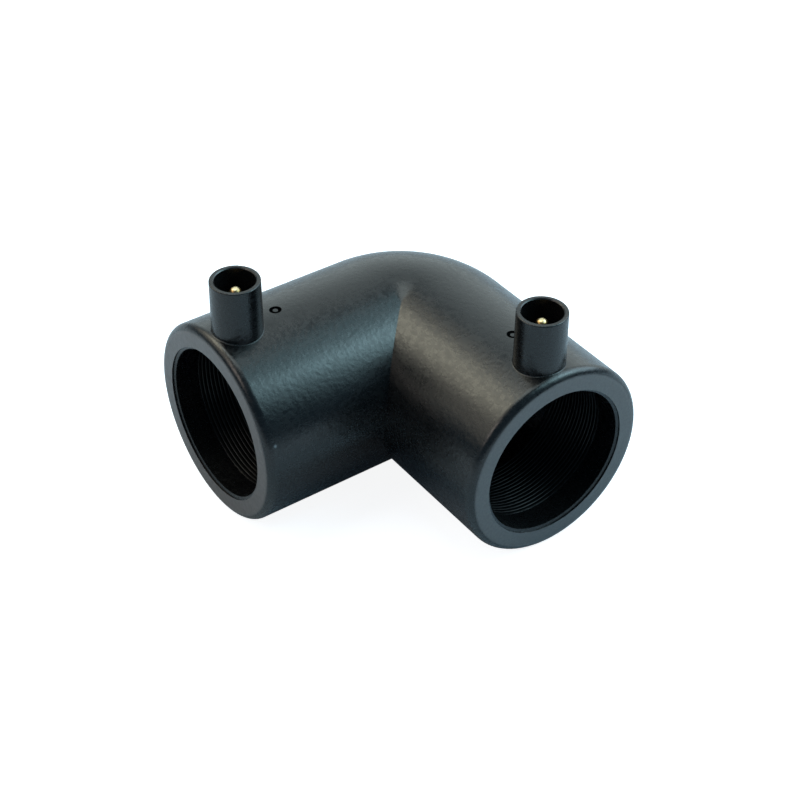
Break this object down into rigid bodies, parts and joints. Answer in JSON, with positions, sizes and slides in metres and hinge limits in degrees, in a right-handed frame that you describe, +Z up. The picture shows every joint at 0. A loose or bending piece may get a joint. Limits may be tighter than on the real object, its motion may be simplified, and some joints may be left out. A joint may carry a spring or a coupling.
{
  "type": "electrofusion elbow",
  "caption": "Black polyethylene elbow that joins pipes at a right angle: each socket holds a wound heating wire, fed by a shrouded upright terminal, that welds it onto the pipe.",
  "frame": {"origin": "middle of the footprint, on the surface that the elbow lies on", "axes": "+Z up, as both terminals point; socket a opens towards -Y and socket b towards +X"},
  "size_m": [0.1105, 0.1105, 0.0851],
  "materials": {
    "black_polyethylene": "satin, finely mottled as moulded",
    "wire_coating": "satin, ribbed by the turns",
    "brass": "bright turned"
  },
  "bodies": {
    "root": {"elbow_body": "black_polyethylene", "heating_wire": "wire_coating", "terminal_pin_a": "brass", "terminal_pin_b": "brass"}
  },
  "joints": []
}
